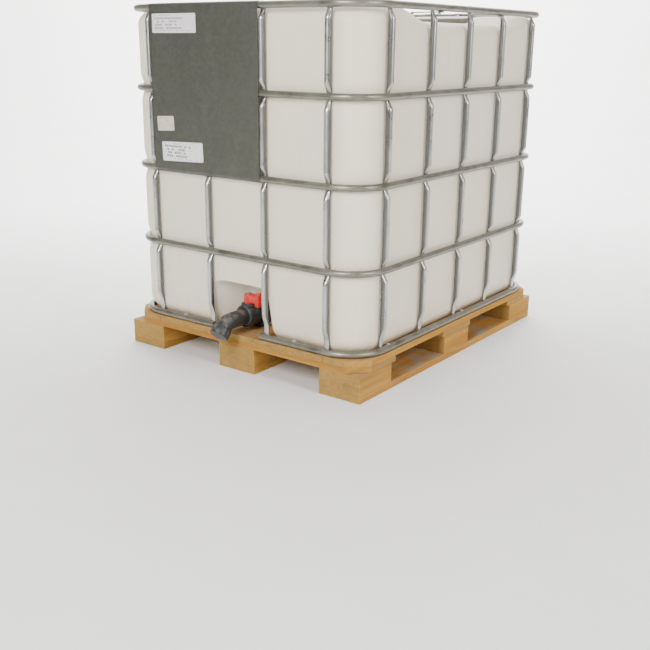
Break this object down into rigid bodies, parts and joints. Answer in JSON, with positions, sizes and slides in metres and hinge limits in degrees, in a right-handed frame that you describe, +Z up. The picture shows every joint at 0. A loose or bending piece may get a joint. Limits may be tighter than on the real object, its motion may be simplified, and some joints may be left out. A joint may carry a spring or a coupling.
{
  "type": "intermediate bulk container",
  "caption": "Intermediate bulk container: a natural plastic bottle with a screw lid and a ball valve, in a galvanised tube cage on a wooden pallet.",
  "frame": {"origin": "centre of the footprint, on the underside of the middle bottom board", "axes": "+Z up; -Y is the valve side; +X is to the right of someone facing the valve"},
  "size_m": [1, 1.3036, 1.1631],
  "materials": {
    "pallet_wood": "sawn softwood, weathered",
    "galvanised_tube": "galvanised, dulled",
    "galvanised_sheet": "galvanised sheet, dull and mottled",
    "paper_label": null,
    "zinc_fastener": "zinc plated",
    "natural_plastic": "natural polyethylene, milky and slightly translucent",
    "lid_plastic": "moulded, fine grain",
    "seal_rubber": "moulded",
    "seat_plastic": "turned",
    "ball_plastic": "smooth",
    "red_plastic": "moulded, slightly faded",
    "black_plastic": "moulded, fine grain"
  },
  "bodies": {
    "container": {"bottom_board_left": "pallet_wood", "bottom_board_middle": "pallet_wood", "bottom_board_right": "pallet_wood", "blocks_front": "pallet_wood", "blocks_middle": "pallet_wood", "blocks_rear": "pallet_wood", "stringer_front": "pallet_wood", "stringer_middle": "pallet_wood", "stringer_rear": "pallet_wood", "deck_boards": "pallet_wood", "pallet_nails": "zinc_fastener", "rail_bottom": "galvanised_tube", "rail_second": "galvanised_tube", "rail_third": "galvanised_tube", "rail_fourth": "galvanised_tube", "rail_top": "galvanised_tube", "rail_sleeves": "galvanised_tube", "hold_down_screws": "zinc_fastener", "top_bar_front": "galvanised_tube", "top_bar_rear": "galvanised_tube", "top_bar_screws": "zinc_fastener", "label_plate": "galvanised_sheet", "plate_labels": "paper_label", "upright_front_1": "galvanised_tube", "upright_front_2": "galvanised_tube", "upright_front_3": "galvanised_tube", "upright_front_4": "galvanised_tube", "upright_rear_1": "galvanised_tube", "upright_rear_2": "galvanised_tube", "upright_rear_3": "galvanised_tube", "upright_rear_4": "galvanised_tube", "upright_left_1": "galvanised_tube", "upright_left_2": "galvanised_tube", "upright_left_3": "galvanised_tube", "upright_left_4": "galvanised_tube", "upright_left_5": "galvanised_tube", "upright_right_1": "galvanised_tube", "upright_right_2": "galvanised_tube", "upright_right_3": "galvanised_tube", "upright_right_4": "galvanised_tube", "upright_right_5": "galvanised_tube", "bottle": "natural_plastic", "valve_gasket": "seal_rubber", "valve_nut": "black_plastic", "valve_body": "black_plastic", "ball_seats": "seat_plastic", "stem_seal": "seal_rubber"},
    "lid_seal_ring": {"lid_seal": "seal_rubber"},
    "lid": {"lid": "lid_plastic", "lid_vent": "lid_plastic"},
    "valve_handle": {"valve_ball": "ball_plastic", "valve_stem": "ball_plastic", "valve_lever": "red_plastic", "lever_screw": "zinc_fastener"},
    "cap_seal_ring": {"outlet_cap_seal": "seal_rubber"},
    "outlet_cap": {"outlet_cap": "black_plastic"}
  },
  "joints": [
    {"name": "lid_rise", "type": "slide", "parent": "container", "child": "lid_seal_ring", "axis": [0, 0, 1], "range_m": [0, 0.026]},
    {"name": "lid_turn", "type": "hinge", "parent": "lid_seal_ring", "child": "lid", "pos_m": [0, 0, 1.13], "axis": [0, 0, 1], "range_deg": [0, 720]},
    {"name": "valve_turn", "type": "hinge", "parent": "container", "child": "valve_handle", "pos_m": [0, -0.531, 0.24], "axis": [0, 0, -1], "range_deg": [0, 90]},
    {"name": "cap_slide", "type": "slide", "parent": "container", "child": "cap_seal_ring", "axis": [0, -0.7071, -0.7071], "range_m": [0, 0.026]},
    {"name": "cap_turn", "type": "hinge", "parent": "cap_seal_ring", "child": "outlet_cap", "pos_m": [0, -0.67753, 0.14447], "axis": [0, -0.7071, -0.7071], "range_deg": [0, 1440]}
  ],
  "couplings": [
    {"joint": "lid_rise", "follows": "lid_turn", "m_per_rad": 0.0020611},
    {"joint": "cap_slide", "follows": "cap_turn", "m_per_rad": 0.0010305}
  ]
}
